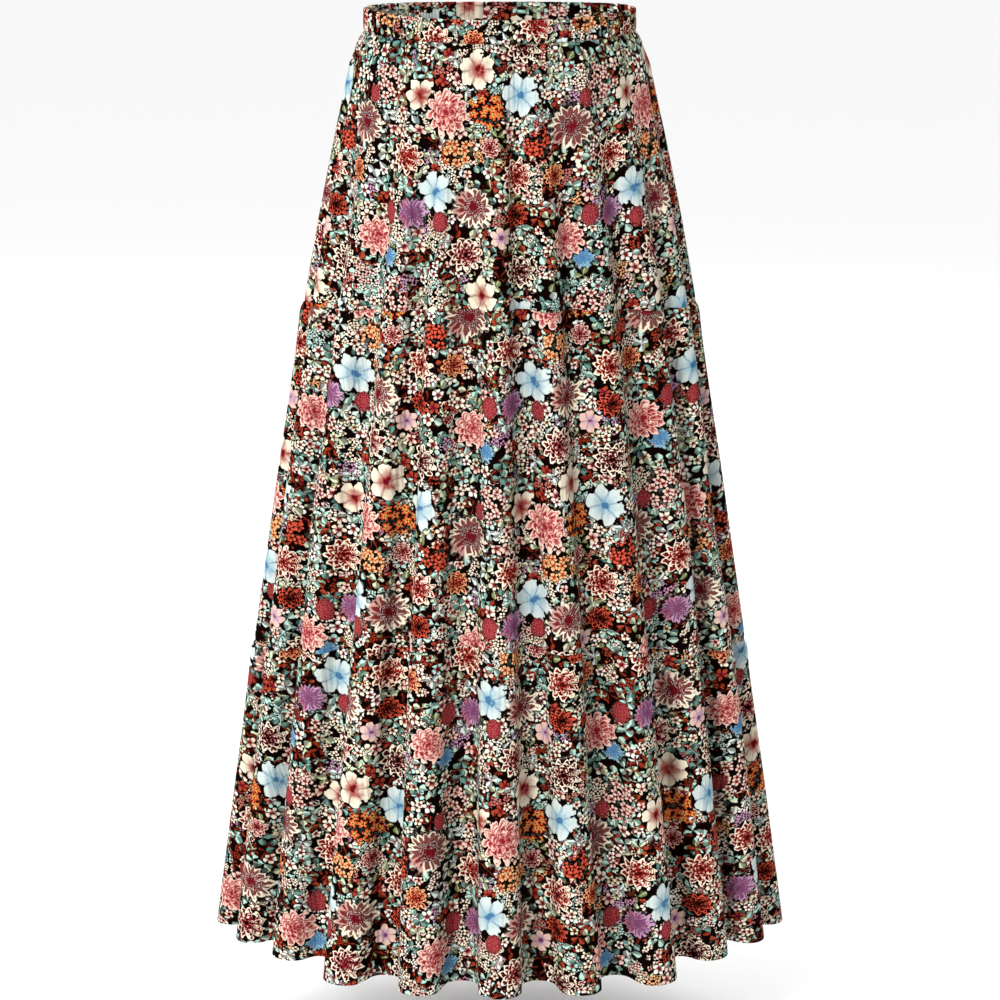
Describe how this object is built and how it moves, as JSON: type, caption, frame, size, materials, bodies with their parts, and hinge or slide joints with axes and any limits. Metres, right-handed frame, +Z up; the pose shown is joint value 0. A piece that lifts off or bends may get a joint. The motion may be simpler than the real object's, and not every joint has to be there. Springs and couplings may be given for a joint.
{
  "type": "maxi skirt",
  "caption": "Long flared skirt in gathered tiers on an elasticated waistband, open at waist and hem, standing hollow as if worn, its hem in deep soft folds.",
  "frame": {"origin": "centre of the waist opening, at half the waistband's height, where the wearer's waist holds it", "axes": "+Z up, -Y the skirt's front, +X the wearer's left side, which is on the right seen from the front"},
  "size_m": [0.5701, 0.4137, 0.918],
  "materials": {
    "flowered_cloth": "light plain-woven cloth, softly crinkled, with a slight sheen, printed all over with small and middling flowers on near-black"
  },
  "bodies": {
    "root": {"waistband_front": "flowered_cloth", "waistband_back": "flowered_cloth", "upper_tier_front": "flowered_cloth", "upper_tier_back": "flowered_cloth", "middle_tier_front": "flowered_cloth", "middle_tier_back": "flowered_cloth", "lower_tier_front": "flowered_cloth", "lower_tier_back": "flowered_cloth"}
  },
  "joints": []
}
